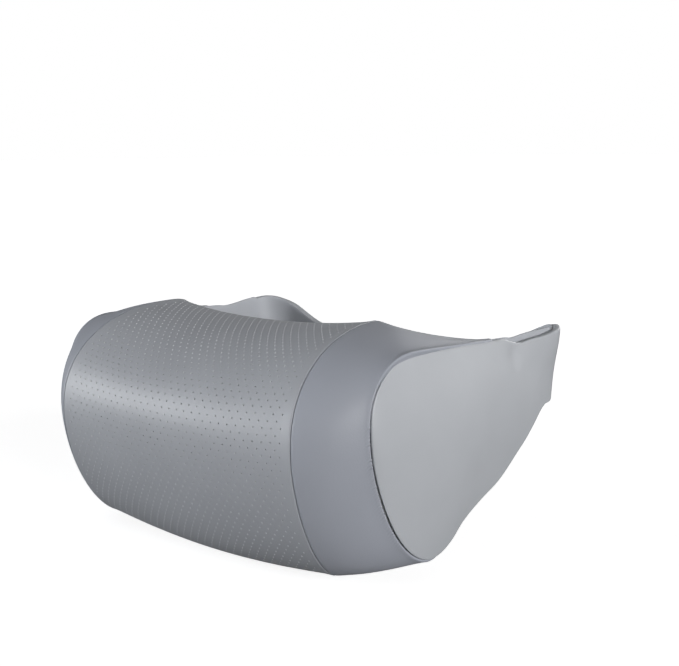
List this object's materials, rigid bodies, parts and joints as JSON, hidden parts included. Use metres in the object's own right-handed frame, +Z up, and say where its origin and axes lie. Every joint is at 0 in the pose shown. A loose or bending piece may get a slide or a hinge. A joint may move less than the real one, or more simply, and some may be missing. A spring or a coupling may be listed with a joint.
{
  "type": "car neck pillow",
  "caption": "Padded roll neck pillow in perforated and smooth leather, with side wings that wrap round a headrest and close behind it with hook-and-loop tape.",
  "frame": {"origin": "on the flat middle of the back panel, where it leans on the headrest, at the height of the roll's fullest point", "axes": "+X to the viewer's right along the roll, +Y backwards out of the back panel into the headrest, +Z up; the user's neck is on the -Y side"},
  "size_m": [0.3138, 0.2803, 0.1675],
  "materials": {
    "perforated_leather": "fine-grained leather with rows of small holes, soft satin",
    "grey_leather": "smooth fine-grained leather, soft satin",
    "pale_leather": "smooth fine-grained leather, soft satin",
    "lining_fabric": "brushed knit lining, matt",
    "foam": "open-cell memory foam, matt",
    "wadding": "needled wadding, matt",
    "elastic": "ribbed woven elastic, matt",
    "fastening_tape": "hook-and-loop tape, matt"
  },
  "bodies": {
    "root": {"foam_core": "foam", "front_panel": "perforated_leather", "back_panel": "grey_leather", "band_left": "grey_leather", "band_right": "grey_leather", "wing_left": "pale_leather", "wing_right": "pale_leather", "wing_wadding_left": "wadding", "wing_wadding_right": "wadding", "wing_lining_left": "lining_fabric", "wing_lining_right": "lining_fabric", "closure_strap": "elastic", "hook_tape": "fastening_tape", "loop_tape": "fastening_tape"}
  },
  "joints": []
}
